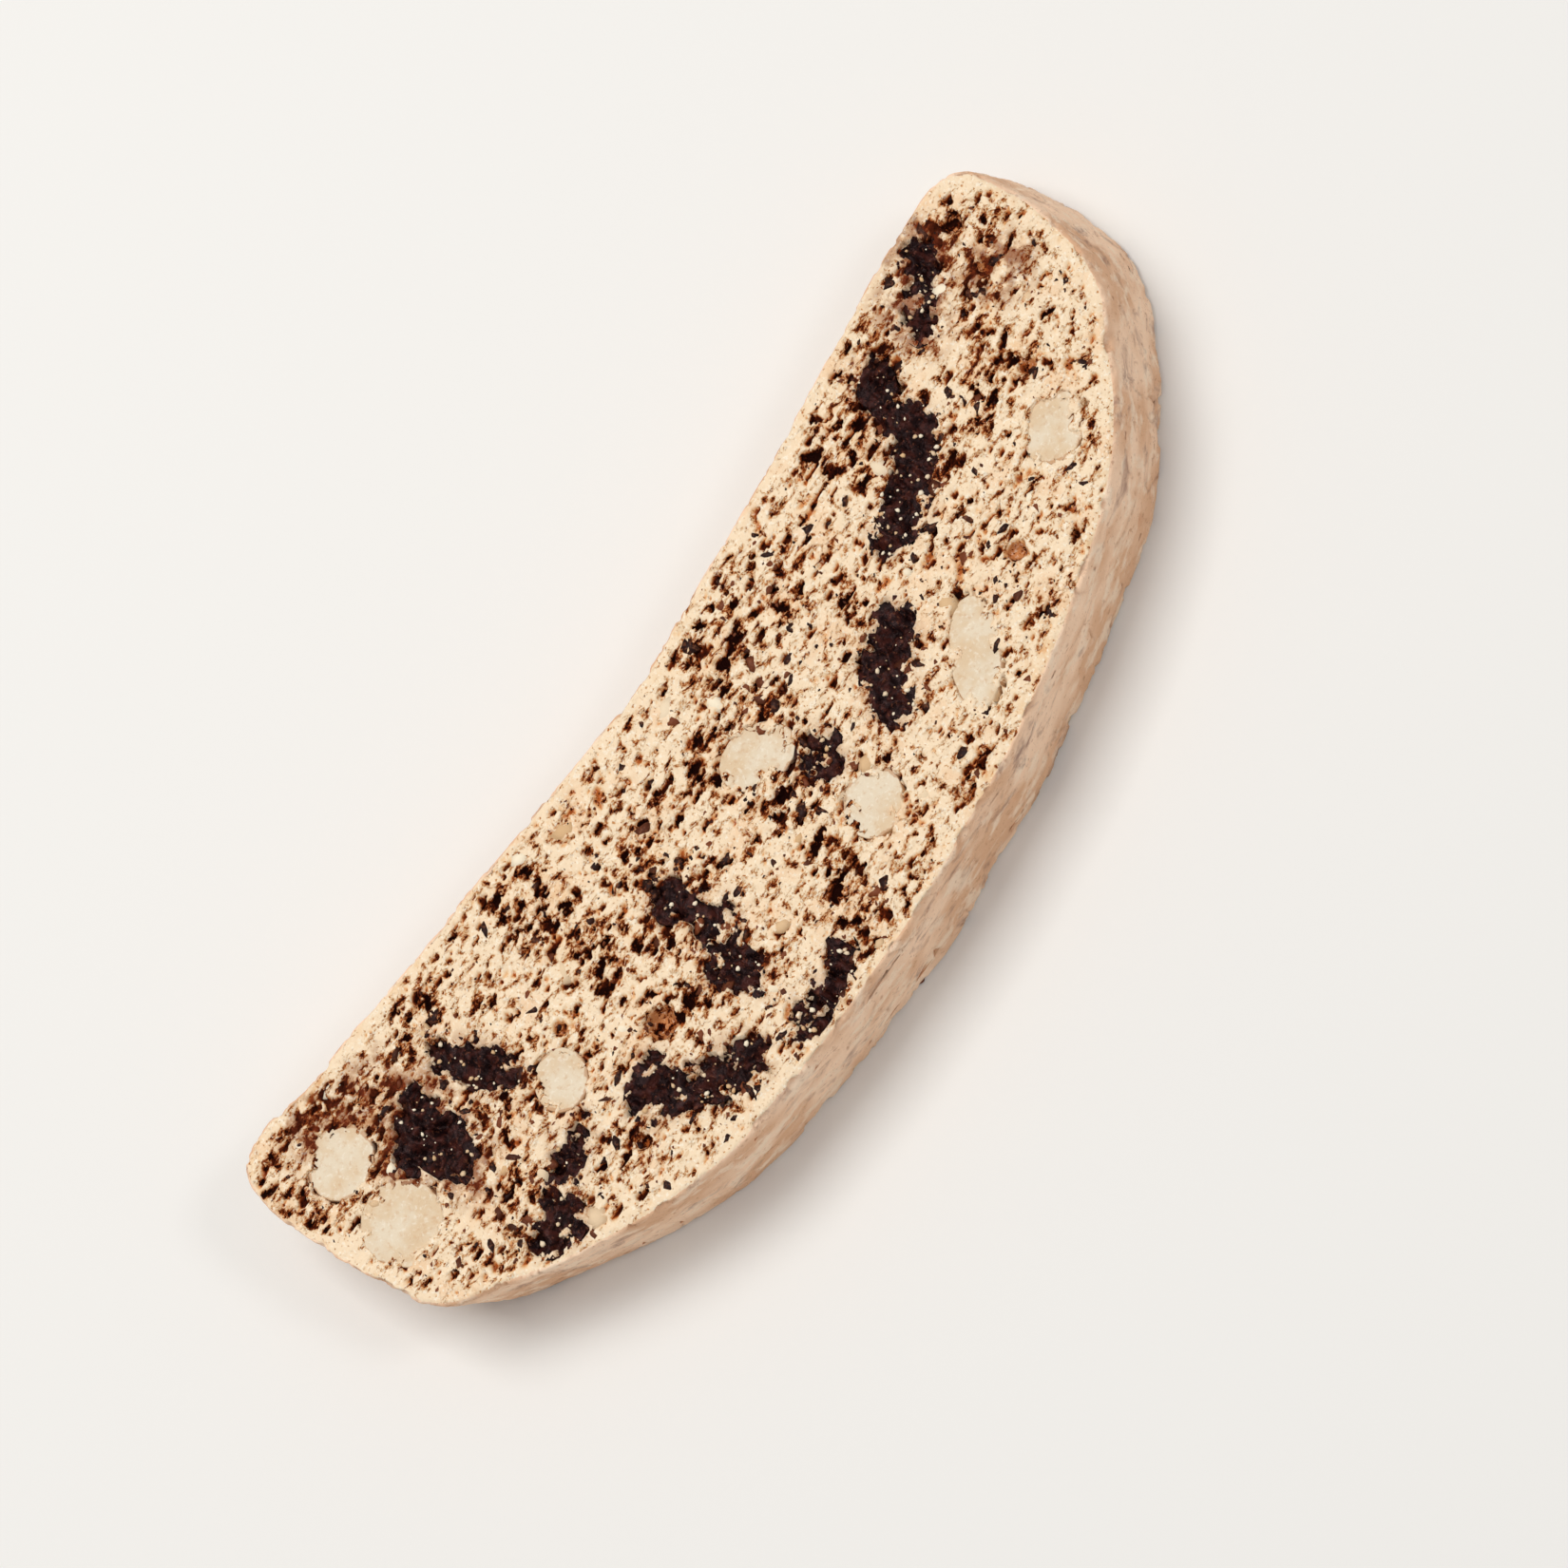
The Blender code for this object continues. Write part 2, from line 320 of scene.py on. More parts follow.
# %% [markdown]
# ## Crumb and crust
#
# The knife goes through baked crumb and leaves a level face, broken by three things: grains that tore
# out, bubbles that were in the dough, and the places where a chunk or nut sits. The crust never met the
# knife: it keeps the smooth, slightly lumpy skin of the loaf, with dry cracks. It could be sculpted by
# hand, but rules are easier to read and to change. One even mesh carries all of it, and each point is
# moved by a sum of small amounts, most of them taken from random surfaces.

# %% Random surfaces
def step(low, high, values):
    """Smoothly from 0 at low to 1 at high."""
    share = np.clip((values - low) / (high - low), 0.0, 1.0)
    return share * share * (3.0 - 2.0 * share)


def rough(places, spacing, seed, octaves=1):
    """A random value from about -1 to 1 for each place, with bumps a given distance apart."""
    shift = Vector((seed * 7.3, seed * 3.1, seed * 5.7))
    if octaves == 1:
        return np.array([noise.noise(Vector(place) / spacing + shift) for place in places])
    return np.array([noise.fractal(Vector(place) / spacing + shift, 0.9, 2.1, octaves) for place in places])


def crack_lines(places, spacing, seed):
    """1 along thin winding lines, 0 away from them: where a random surface crosses zero."""
    return 1.0 - step(0.0, 0.03, np.abs(rough(places, spacing, seed, octaves=3)))


def chips(places, spacing, seed):
    """A random value from about -1 to 1 that is the same all over each small angular cell."""
    shift = Vector((seed * 2.9, seed * 5.3, seed * 1.7))
    values = np.empty(len(places))
    for index, place in enumerate(places):
        cell = noise.voronoi(Vector(place) / spacing + shift)[1][0]
        values[index] = noise.noise(cell * 3.7) * 2.0
    return values

# %% [markdown]
# ## Pores and bubbles
#
# Most pores are torn: short uneven slits that lie more or less along the slice. Some are rounder holes,
# and a few are true bubbles with an even round wall. Cutting each one out with a boolean would be slow
# and leave sharp rims. Here a pore is only a depth, kept for the points near it: deepest in its middle
# and nothing at its edge.

# %% Bubbles and torn pores
FLOW, SPREAD = 0.30, 0.5         # how pores lie to the slice's length, in radians, and how much that varies
# how many on one face, smallest and largest radius, depth for its radius, and greatest stretch
PORES = [
    ("tears", 380, 0.18, 0.44, 1.5, 3.0),
    ("holes", 18, 0.42, 0.72, 1.4, 2.2),
]
# the round bubbles that the upper face shows: where, and what radius
BUBBLES = [(-21.7, -5.3, 1.45), (26.5, -7.0, 1.0), (46.0, 14.2, 1.0), (39.7, 1.5, 0.8), (-27.0, 1.7, 0.7),
           (-30.5, -10.0, 0.7), (44.5, 9.6, 0.9), (3.2, -9.5, 0.6), (31.0, 9.0, 0.6)]


def pore_depths(places, seed, mirror):
    """How deep each point of a face lies in a torn pore and in a round bubble, in millimetres."""
    draw = random.Random(seed)
    tree = KDTree(len(places))
    for index, place in enumerate(places):
        tree.insert((place[0], place[1], 0.0), index)
    tree.balance()
    torn, round_ones = np.zeros(len(places)), np.zeros(len(places))
    (x_low, y_low), (x_high, y_high) = places[:, :2].min(axis=0), places[:, :2].max(axis=0)

    def dig(depths, x, y, radius, long, steepness, uneven):
        turn = draw.gauss(FLOW, SPREAD)
        across, along = math.cos(turn), math.sin(turn)
        wobble = draw.uniform(0.0, 50.0)
        for spot, index, _ in tree.find_range((x, y, 0.0), radius * long * 1.2):
            dx, dy = spot.x - x, spot.y - y
            u, v = (dx * across + dy * along) / long, dy * across - dx * along
            edge = 1.0 + uneven * noise.noise(Vector((dx * 2.6 + wobble, dy * 2.6, wobble)))
            share = 1.0 - math.hypot(u, v) / (radius * edge)
            if share > 0:
                depth = radius * steepness * min(share / 0.55, 1.0) ** 0.8
                depths[index] = max(depths[index], depth)

    for _, count, smallest, largest, steepness, stretch in PORES:
        for _ in range(count):
            radius = smallest + (largest - smallest) * draw.random() ** 2
            dig(torn, draw.uniform(x_low, x_high), draw.uniform(y_low, y_high), radius,
                draw.uniform(1.0, stretch), steepness, 0.8)
    for x, y, radius in BUBBLES:
        dig(round_ones, x * mirror, y, radius, 1.1, 1.1, 0.3)
    return torn, round_ones

# %% [markdown]
# ## Cut face or crust
#
# The mesh is all one skin, so the way a point faces tells what it is: up or down is a cut face, and
# sideways is crust. The outermost millimetre of a cut face is denser than the rest and has hardly any
# pores, so the distance to the crust is measured as well.

# %% Tell the cut faces from the crust
RIM = 1.2                        # width of the dense edge of a cut face

places = places_of(dough)
outward = normals_of(dough)
is_cut = step(0.80, 0.97, np.abs(outward[:, 2]))
is_crust = 1.0 - is_cut
on_top = outward[:, 2] > 0.5
under = outward[:, 2] < -0.5

crust_tree = KDTree(int((is_cut < 0.5).sum()))
for index in np.nonzero(is_cut < 0.5)[0]:
    crust_tree.insert(places[index], int(index))
crust_tree.balance()
to_crust = np.array([crust_tree.find(place)[2] for place in places])
inner = step(RIM * 0.35, RIM, to_crust + rough(places, 4.0, 18) * 0.9)
print(round(float(is_crust.mean()) * 100), "% of the points are crust")

# %% [markdown]
# ## Ragged edges
#
# A chunk ends level with the cut face, so a point of that face is never deep inside it: the chunk's own
# flat end is right there. Measured from a little below the face, the nearest surface is the chunk's
# side, which is the edge that shows. Two things then break that edge up: angular chips that came off,
# and crumb that closed over the border. The solid chunks have lost less than the others.

# %% Measure the edges of chocolate and nut
BELOW = 1.5                      # how far below a cut face the edges are measured
FAR = 4.0                        # beyond this the distance doesn't matter
UNBROKEN = ("wedge", "bar", "slab", "boot", "left", "right")
# where melted chocolate has stained the crumb with no chunk beside it: where, and what radius
STAINS = [(-45.5, 14.0, 1.4), (45.0, 8.5, 1.2), (-40.0, 12.0, 1.0), (38.0, 14.0, 0.6)]

below_face = places.copy()
below_face[:, 2] = np.clip(places[:, 2], BELOW, THICKNESS - BELOW)
wandered = wander(wander(below_face, 2.6, 0.70, 4.0), 0.9, 0.35, 14.0)
wandered_at_nuts = wander(wander(below_face, 2.2, 0.65, 9.0), 0.7, 0.25, 19.0)
melted_nodes = [node for node in CHOCOLATE_NODES if "wedge" in node or "base" in node]
unbroken_nodes = [node for node in CHOCOLATE_NODES if node.split("_")[-1] in UNBROKEN]
to_chocolate = distance_to(CHOCOLATE_NODES, wandered, FAR)
to_unbroken = distance_to(unbroken_nodes, wandered, FAR)
to_nut = distance_to(NUT_NODES, wandered_at_nuts, 1.5)
to_melted = distance_to(melted_nodes, wandered, FAR)
for x, y, size in STAINS:
    to_stain = np.hypot(wandered[:, 0] - x, wandered[:, 1] - y) - size
    to_melted = np.where(on_top, np.minimum(to_melted, to_stain), to_melted)

crumb_over = np.maximum(rough(places, 1.1, 41, octaves=3), 0.0)
broken_off = np.clip(chips(places, 1.15, 44), -0.25, 1.0)
chocolate_edge = to_chocolate - 0.10 + np.where(to_unbroken < 0.5, crumb_over * 0.4 + broken_off * 0.9,
                                                crumb_over * 1.3 + broken_off * 1.5)
nut_edge = to_nut - 0.1 + np.clip(chips(places, 1.0, 45), -0.2, 0.9) * 1.1 + crumb_over * 1.3
print("chocolate on", round(float((chocolate_edge < 0)[on_top].mean()) * 100), "% of the upper face")

# %% [markdown]
# ## Relief
#
# `busy` parts the crumb into close-grained and open areas, as the dough was folded. Between the pores
# the crumb is torn finely all over, stretched along the slice like the rest. The tone kept for the finish
# is partly baked browning and partly painted shade: a torn pore is painted browner and darker the
# deeper it is, while a bubble has one even tone and gets its shade from its shape.

# %% Work out the pores
pores, bubbles = np.zeros(len(places)), np.zeros(len(places))
for side, seed, mirror in ((on_top, 11, 1), (under, 12, -1)):
    pores[side], bubbles[side] = pore_depths(places[side], seed, mirror)
busy = step(-0.25, 0.30, rough(places, 6.5, 17, octaves=2))
stretched = places * np.array((0.55, 1.0, 1.0))
torn = step(0.36, 0.68, rough(stretched, 0.72, 15, octaves=3) + busy * 0.18) * 0.55
pores = np.maximum(pores * (0.55 + 0.45 * busy), torn) * is_cut * (0.12 + 0.88 * inner)
toasted_bubble = np.clip(bubbles, 0.0, 0.30) * 0.8 + 0.10
# painted shade: a torn pore's colour darkens with its depth, partly baked browning and partly the shade
# inside the hole
pore_toast_and_shade = np.where(bubbles > 0.03, toasted_bubble, np.clip(pores / 0.75, 0.0, 1.0))
pores = np.maximum(pores, bubbles)
print("pores over", round(float((pores > 0.05)[on_top].mean()) * 100), "% of the upper face")

# %% Relief of the cut faces
SINK = 1.3                       # how far the dough dips under a chunk or a nut

waves = rough(places, 11.0, 1) * 0.20
grains = rough(places, 1.3, 2, octaves=3) * 0.17
sink = np.maximum(step(0.18, -0.18, chocolate_edge), step(0.15, -0.20, nut_edge)) * SINK
rise = (waves + grains - pores) * is_cut - sink * is_cut
print("the cut faces lie", round(float(rise.min()), 2), "to", round(float(rise.max()), 2), "mm off level")

# %% [markdown]
# The crust has lumps from the shaping by hand, finer wrinkles along the loaf, small dents and a few
# cracks. Its border with a cut face is nicked, where the knife left it crumbly.

# %% Relief of the crust
CRACK = 0.20                     # depth of a crack

to_border = np.minimum(places[:, 2], THICKNESS - places[:, 2])
nicks = np.maximum(rough(places, 1.7, 3, octaves=2) - 0.12, 0.0) * 1.3
rim = is_crust * step(1.3, 0.2, to_border)
lumps = rough(places, 3.6, 5) * 0.17
wrinkles = rough(places * np.array((0.5, 1.0, 1.0)), 0.9, 6, octaves=3) * 0.09
dents = np.maximum(rough(places, 1.3, 9) - 0.42, 0.0) * 0.9
cracks = crack_lines(places, 9.0, 7) * step(0.10, 0.35, rough(places, 5.0, 8, octaves=2)) * CRACK
push = (lumps + wrinkles - cracks - dents) * is_crust - nicks * rim
print("the crust lies", round(float(push.min()), 2), "to", round(float(push.max()), 2), "mm off smooth")

# %% Move the points, and keep what the finish reads
HIGHEST = 0.35                   # how far a grain may stand above the cut face

moved = places.copy()
moved[:, 2] += np.sign(outward[:, 2]) * rise
moved += outward * np.array((1.0, 1.0, 0.35)) * push[:, None]
moved[:, 2] = np.clip(moved[:, 2], 0.0, THICKNESS + HIGHEST)
put_places(dough, moved)
store(dough, "cut", is_cut)
# hollow holds how brown and dark a pore is painted: baked browning and painted shade together
store(dough, "hollow", pore_toast_and_shade)
store(dough, "smear", np.maximum(step(1.8, 0.0, to_chocolate) * 0.45, step(3.4, 0.2, to_melted)))
store(dough, "rim", 1.0 - inner)
store(dough, "busy", busy)
store(dough, "cracked", cracks / CRACK * is_crust)
print("moved", len(moved), "points")

# %% [markdown]
# ## Chunks of chocolate
#
# Dark chocolate that was chopped, baked in and cut cold breaks in small facets with a satin gleam. A
# displacement texture would make round bumps. Random cells, each tilted its own way, make facets
# with edges between them, on the even skin that a voxel remesh gives. The chunk is made a little
# fatter than its solid, so that the ragged edge of the dough, and not the chunk's own outline,
# decides where it shows.

# %% Broken chocolate
def facets(places, spacing, seed):
    """Height above each place of small flat faces that lean all ways."""
    shift = Vector((seed * 2.9, seed * 5.3, 0.0))
    heights = np.empty(len(places))
    for index, place in enumerate(places):
        spot = Vector(place) / spacing + shift
        cell = noise.voronoi(spot)[1][0]
        heights[index] = (spot - cell).dot(noise.noise_vector(cell * 3.7))
    return heights


def fatten(piece, width):
    pick(piece)
    bpy.ops.object.mode_set(mode="EDIT")
    bpy.ops.mesh.select_all(action="SELECT")
    bpy.ops.transform.shrink_fatten(value=width * MM)
    bpy.ops.object.mode_set(mode="OBJECT")


def cut_level(piece, below_face, relief):
    """Trim a piece just under both cut faces, and add relief(places) to the trimmed ends."""
    table = places_of(piece)
    top, bottom = THICKNESS - below_face, below_face
    near_end = np.maximum(step(top - 0.5, top, table[:, 2]), step(bottom + 0.5, bottom, table[:, 2]))
    side = np.where(table[:, 2] > THICKNESS / 2, 1.0, -1.0)
    table[:, 2] = np.clip(table[:, 2], bottom, top)
    table[:, 2] += side * near_end * relief(table)
    put_places(piece, table)


def shade_smooth(piece):
    pick(piece)
    bpy.ops.object.shade_smooth()


def chocolate_relief(table):
    broken = facets(table, 1.3, 3) * 1.6 + facets(table, 0.6, 4) * 0.6
    return np.clip(broken + rough(table, 2.5, 21) * 0.16, -0.7, 0.30)


CHUNK_FATTER, CHUNK_LOWER = 0.80, 0.34


def chunk_of_chocolate(node):
    piece = copy_of_solid(node, node.replace("chocolate", "chunk"))
    fatten(piece, CHUNK_FATTER)
    apply_remesh(piece, VOXEL)
    cut_level(piece, CHUNK_LOWER, chocolate_relief)
    return piece


chunks = {node: chunk_of_chocolate(node) for node in CHOCOLATE_NODES}

# %% [markdown]
# ## Pieces of hazelnut
#
# A nut cuts clean. Its face is nearly level, with soft waves and a fine grain, and brown skin is left
# here and there along its edge. The same steps as for chocolate do, with a gentler relief. How close
# a point lies to the nut's own edge is kept for the finish.

# %% Cut hazelnuts
def nut_relief(table):
    return rough(table, 2.2, 31) * 0.10 + rough(table, 0.6, 32, octaves=2) * 0.035


NUT_FATTER, NUT_LOWER = 0.45, 0.14


def piece_of_nut(node):
    piece = copy_of_solid(node, node.replace("hazelnut", "nut"))
    fatten(piece, NUT_FATTER)
    apply_remesh(piece, VOXEL)
    cut_level(piece, NUT_LOWER, nut_relief)
    table = places_of(piece)
    deeper = table.copy()
    deeper[:, 2] = np.clip(deeper[:, 2], 2.0, THICKNESS - 2.0)
    inside = -distance_to([node], wander(deeper, 1.5, 0.25, 2.0), 1.0)
    store(piece, "skin", step(0.25, -0.35, inside))
    return piece


nuts = {node: piece_of_nut(node) for node in NUT_NODES}

# %% [markdown]
# ## Small things in the crumb
#
# Chopped chocolate leaves far more splinters than chunks, and chopped nut leaves crumbs of nut. A few
# lumps of each kind are modelled once and copied, each copy with its own turn and size. Particles
# would do the same, but only real mesh can be handed over. A ray dropped on the face finds the crumb,
# so that each splinter is set into it. The crumbs of nut were cut by the knife, so they lie level.

# %% A splinter, and how to strew it
def one_lump(sharpness, seed):
    """A rough little lump, as points and triangles."""
    bpy.ops.object.select_all(action="DESELECT")
    bpy.ops.mesh.primitive_ico_sphere_add(subdivisions=1, radius=1.0)
    lump = bpy.context.object
    bpy.ops.object.mode_set(mode="EDIT")
    bpy.ops.transform.vertex_random(offset=sharpness, seed=seed)
    bpy.ops.object.mode_set(mode="OBJECT")
    points = np.array([vertex.co[:] for vertex in lump.data.vertices])
    triangles = np.array([face.vertices[:] for face in lump.data.polygons])
    bpy.data.objects.remove(lump)
    return points, triangles


def strew(name, shapes, spots):
    """One piece made of a lump at each spot: place, turn, tilt, three half sizes and a tone."""
    all_points, all_triangles, tones = [], [], []
    start = 0
    for number, (place, turn, tilt, sizes, tone) in enumerate(spots):
        points, triangles = shapes[number % len(shapes)]
        turning = np.array(Matrix.Rotation(turn, 3, "Z") @ Matrix.Rotation(tilt, 3, "X"))
        placed = (points * np.array(sizes)) @ turning.T + np.array(place)
        placed[:, 2] = np.clip(placed[:, 2], 0.0, THICKNESS + 0.3)
        all_points.append(placed)
        all_triangles.append(triangles + start)
        tones.extend([tone] * len(points))
        start += len(points)
    mesh = bpy.data.meshes.new(name)
    mesh.from_pydata((np.concatenate(all_points) * MM).tolist(), [], np.concatenate(all_triangles).tolist())
    piece = bpy.data.objects.new(name, mesh)
    bpy.context.scene.collection.objects.link(piece)
    store(piece, "tone", tones)
    print(name, "holds", len(spots), "lumps")
    return piece


dough_tree = BVHTree.FromObject(dough, bpy.context.evaluated_depsgraph_get())
first_point = [face.vertices[0] for face in dough.data.polygons]


def spots_on_face(side, count, draw, wanted):
    """Random spots on a cut face, kept where wanted(distance to chocolate, distance to nut) is true."""
    found = []
    above = THICKNESS + 5.0 if side > 0 else -5.0
    half_length, half_width = slice_high.x / MM, slice_high.y / MM
    while len(found) < count:
        x, y = draw.uniform(-half_length, half_length), draw.uniform(-half_width, half_width)
        hit, _, face, _ = dough_tree.ray_cast(Vector((x, y, above)) * MM, Vector((0, 0, -side)))
        if hit is None:
            continue
        point = first_point[face]
        if to_crust[point] > 0.9 and wanted(chocolate_edge[point], nut_edge[point]):
            found.append((hit.x / MM, hit.y / MM, hit.z / MM))
    return found

# %% Splinters of chocolate and crumbs of nut
SPLINTERS, NUT_CRUMBS = 760, 30  # on each cut face
NUT_CRUMB_LEVEL = 0.36           # how far the middle of a crumb of nut lies below the cut face
draw = random.Random(5)
splinter_shapes = [one_lump(0.55, seed) for seed in (1, 2, 3, 4, 5, 6)]
splinters = []
nut_crumbs = []


def near_chunks(chocolate, nut):
    return chocolate > 0.1 and nut > 0.3 and draw.random() < 0.22 + 0.78 * math.exp(-chocolate / 1.8)


def clear_of_both(chocolate, nut):
    return chocolate > 0.9 and nut > 0.9


for side in (1, -1):
    for place in spots_on_face(side, SPLINTERS, draw, near_chunks):
        long = 0.20 + 0.75 * draw.random() ** 3
        sizes = (long, long * draw.uniform(0.45, 0.85), 0.28)
        splinters.append(((place[0], place[1], place[2] - side * 0.16), draw.gauss(0.35, 0.8),
                          draw.uniform(-0.5, 0.5), sizes, draw.random()))
    level = THICKNESS - NUT_CRUMB_LEVEL if side > 0 else NUT_CRUMB_LEVEL
    for place in spots_on_face(side, NUT_CRUMBS, draw, clear_of_both):
        long = draw.uniform(0.5, 1.5)
        sizes = (long, long * draw.uniform(0.5, 0.85), 0.5)
        nut_crumbs.append(((place[0], place[1], level), draw.uniform(0, math.pi), 0.0, sizes, draw.random()))
splinter_piece = strew("chocolate_splinters", splinter_shapes, splinters)
nut_crumb_piece = strew("nut_crumbs", [one_lump(0.18, seed) for seed in (7, 8)], nut_crumbs)

# %% [markdown]
# The knife also dragged crumbs of dough over the chocolate, where they show as pale dots. A ray dropped
# on each chunk finds its broken face, and steep places are left clean.

# %% Crumbs that the knife dragged over the chocolate
crumbs = []
crumb_shapes = [one_lump(0.25, seed) for seed in (11, 12, 13)]
for node, chunk in chunks.items():
    low, high = [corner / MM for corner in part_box(node)]
    tree = BVHTree.FromObject(chunk, bpy.context.evaluated_depsgraph_get())
    for side, reaches in ((1, high.z > THICKNESS - 0.1), (-1, low.z < 0.1)):
        tries = int((high.x - low.x) * (high.y - low.y) * 0.9) if reaches else 0
        for _ in range(tries):
            x, y = draw.uniform(low.x, high.x), draw.uniform(low.y, high.y)
            start = Vector((x, y, THICKNESS + 3.0 if side > 0 else -3.0)) * MM
            hit, facing, _, _ = tree.ray_cast(start, Vector((0, 0, -side)))
            if hit is None or facing.z * side < 0.6:
                continue
            size = 0.08 + 0.24 * draw.random() ** 2
            crumbs.append(((hit.x / MM, hit.y / MM, hit.z / MM + side * size * 0.3), draw.uniform(0, math.pi),
                           draw.uniform(-0.4, 0.4), (size, size * draw.uniform(0.6, 1.0), size * 0.7),
                           draw.random()))
crumb_piece = strew("dragged_crumbs", crumb_shapes, crumbs)

# %% [markdown]
# ## Finishes
#
# Each finish is a small network of nodes. They all read the object's own coordinates, turned into
# millimetres, so a spacing written below is a real distance on the biscotto. A helper with one short
# method for each kind of node keeps a finish readable as a list of layers.

# %% Helpers for building a finish
def colour(red, green, blue):
    """A screen colour from 0 to 255, as the linear light that the shader works in."""
    values = [value / 255.0 for value in (red, green, blue)]
    linear = [value / 12.92 if value <= 0.04045 else ((value + 0.055) / 1.055) ** 2.4 for value in values]
    return (*linear, 1.0)


class Finish:
    """A material under construction, with one short method for each kind of node."""

    def __init__(self, name):
        self.material = bpy.data.materials.new(name)
        self.material.use_nodes = True
        self.tree = self.material.node_tree
        self.shader = self.tree.nodes["Principled BSDF"]
        self.where = self.place_in_mm()

    def node(self, kind):
        return self.tree.nodes.new(kind)

    def join(self, value, socket):
        """Link a socket, or write a plain number or colour into it."""
        if isinstance(value, (int, float, tuple)):
            socket.default_value = value
        else:
            self.tree.links.new(value, socket)

    def place_in_mm(self):
        coordinates = self.node("ShaderNodeTexCoord")
        mapping = self.node("ShaderNodeMapping")
        mapping.inputs["Scale"].default_value = (1000.0, 1000.0, 1000.0)
        self.join(coordinates.outputs["Object"], mapping.inputs["Vector"])
        return mapping.outputs["Vector"]

    def noise(self, spacing, detail=3.0, roughness=0.55, distortion=0.0, long=1.0):
        """Soft random patches a given distance apart, and so many times longer along X."""
        node = self.node("ShaderNodeTexNoise")
        where = self.where
        if long != 1.0:
            mapping = self.node("ShaderNodeMapping")
            mapping.inputs["Scale"].default_value = (1.0 / long, 1.0, 1.0)
            self.join(self.where, mapping.inputs["Vector"])
            where = mapping.outputs["Vector"]
        self.join(where, node.inputs["Vector"])
        node.inputs["Scale"].default_value = 1.0 / spacing
        node.inputs["Detail"].default_value = detail
        node.inputs["Roughness"].default_value = roughness
        node.inputs["Distortion"].default_value = distortion
        return node.outputs["Fac"]

    def attribute(self, name):
        node = self.node("ShaderNodeAttribute")
        node.attribute_name = name
        return node.outputs["Fac"]

    def between(self, value, low, high, to_low=0.0, to_high=1.0):
        """Smoothly from to_low where the value is low, to to_high where it is high."""
        node = self.node("ShaderNodeMapRange")
        node.interpolation_type = "SMOOTHSTEP"
        self.join(value, node.inputs["Value"])
        node.inputs["From Min"].default_value = low
        node.inputs["From Max"].default_value = high
        node.inputs["To Min"].default_value = to_low
        node.inputs["To Max"].default_value = to_high
        return node.outputs["Result"]

    def straight(self, value, low, high):
        """In a straight line from 0 where the value is low to 1 where it is high."""
        node = self.node("ShaderNodeMapRange")
        self.join(value, node.inputs["Value"])
        node.inputs["From Min"].default_value = low
        node.inputs["From Max"].default_value = high
        return node.outputs["Result"]

    def steps(self, value, stops):
        """A colour ramp through the given (place, colour) stops."""
        node = self.node("ShaderNodeValToRGB")
        ramp = node.color_ramp
        while len(ramp.elements) < len(stops):
            ramp.elements.new(0.5)
        for element, (place, tint) in zip(ramp.elements, stops):
            element.position = place
            element.color = tint
        self.join(value, node.inputs["Fac"])
        return node.outputs["Color"]

    def times(self, first, second):
        node = self.node("ShaderNodeMath")
        node.operation = "MULTIPLY"
        self.join(first, node.inputs[0])
        self.join(second, node.inputs[1])
        return node.outputs["Value"]

    def plus(self, first, second):
        node = self.node("ShaderNodeMath")
        node.operation = "ADD"
        self.join(first, node.inputs[0])
        self.join(second, node.inputs[1])
        return node.outputs["Value"]

    def blend(self, share, first, second):
        """The first colour where the share is 0, the second where it is 1."""
        node = self.node("ShaderNodeMix")
        node.data_type = "RGBA"
        self.join(share, node.inputs[0])
        self.join(first, node.inputs[6])
        self.join(second, node.inputs[7])
        return node.outputs[2]

    def bump(self, height, depth, under=None):
        """Fine relief of a given depth in millimetres."""
        node = self.node("ShaderNodeBump")
        node.inputs["Strength"].default_value = 1.0
        node.inputs["Distance"].default_value = depth * MM
        self.join(height, node.inputs["Height"])
        if under is not None:
            self.join(under, node.inputs["Normal"])
        return node.outputs["Normal"]

    def finish(self, base, roughness, normal, specular=0.5, gleam=(1.0, 1.0, 1.0, 1.0)):
        self.join(base, self.shader.inputs["Base Color"])
        self.join(roughness, self.shader.inputs["Roughness"])
        self.join(normal, self.shader.inputs["Normal"])
        self.shader.inputs["Specular IOR Level"].default_value = specular
        self.shader.inputs["Specular Tint"].default_value = gleam
        return self.material
